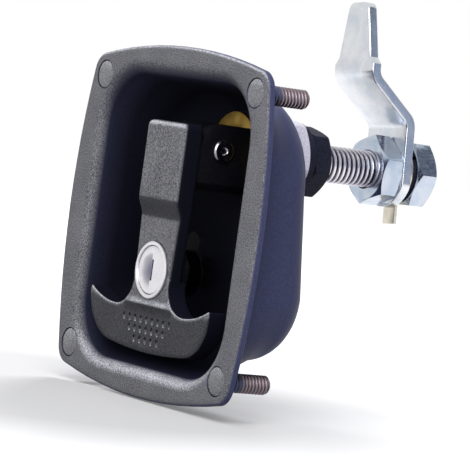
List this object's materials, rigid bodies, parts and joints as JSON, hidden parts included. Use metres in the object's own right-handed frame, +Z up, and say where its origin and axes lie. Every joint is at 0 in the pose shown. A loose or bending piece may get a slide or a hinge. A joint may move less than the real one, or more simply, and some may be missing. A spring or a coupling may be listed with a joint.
{
  "type": "t-handle latch",
  "caption": "Flush folding T-handle latch: square dished pan with rear studs, keyed whale-tail handle, threaded shaft and cranked cam.",
  "frame": {"origin": "middle of the four-stud pattern on the flange's rear mounting face", "axes": "+X to the right seen from outside, +Y into the panel along the studs and the shaft, +Z up towards the cam's tip"},
  "size_m": [0.1166, 0.1056, 0.1406],
  "materials": {
    "powder_coat": "fine-grained black powder coat",
    "stud_steel": "plain steel thread, painted at its root",
    "yellow_zinc": "yellow passivated zinc plate",
    "cast_grey": "bare cast zinc, matt",
    "seal_rubber": "black rubber",
    "keeper_steel": "dull steel",
    "black_oxide": "black oxide",
    "shaft_steel": "machined steel",
    "bright_zinc": "blue-bright zinc plate",
    "tab_zinc": "zinc plate",
    "nylon": "natural nylon",
    "lock_nickel": "satin nickel plate",
    "wafer_brass": "brass"
  },
  "bodies": {
    "housing": {"pan": "powder_coat", "panel_studs": "stud_steel", "bearing_sleeve": "yellow_zinc", "spacer_collar": "cast_grey", "shaft_seal": "seal_rubber", "lock_keeper": "black_oxide", "keeper_rivets": "black_oxide"},
    "rotor": {"yoke": "black_oxide", "shaft": "shaft_steel", "pivot_pin": "shaft_steel", "pivot_clip": "keeper_steel", "friction_washers": "nylon", "retaining_washer": "black_oxide", "retaining_nut": "black_oxide", "front_nut": "bright_zinc", "cam": "bright_zinc", "tab_washer": "tab_zinc", "spring_washer": "black_oxide", "rear_nut": "bright_zinc"},
    "handle": {"t_handle": "powder_coat", "lock_housing": "lock_nickel", "lock_nut": "black_oxide"},
    "lock_core": {"lock_plug": "lock_nickel", "wafers": "wafer_brass", "lock_tail": "black_oxide", "tail_screw": "black_oxide"}
  },
  "joints": [
    {"name": "cam_turn", "type": "hinge", "parent": "housing", "child": "rotor", "pos_m": [0, 0, 0.026], "axis": [0, -1, 0], "range_deg": [0, 90]},
    {"name": "handle_swing", "type": "hinge", "parent": "rotor", "child": "handle", "pos_m": [0, 0.0114, 0.026], "axis": [-1, 0, 0], "range_deg": [0, 90]},
    {"name": "key_turn", "type": "hinge", "parent": "handle", "child": "lock_core", "pos_m": [0, 0, -0.0158], "axis": [0, -1, 0], "range_deg": [0, 90]}
  ],
  "couplings": [
    {"joint": "cam_turn", "follows": "handle_swing", "ratio": 1}
  ]
}
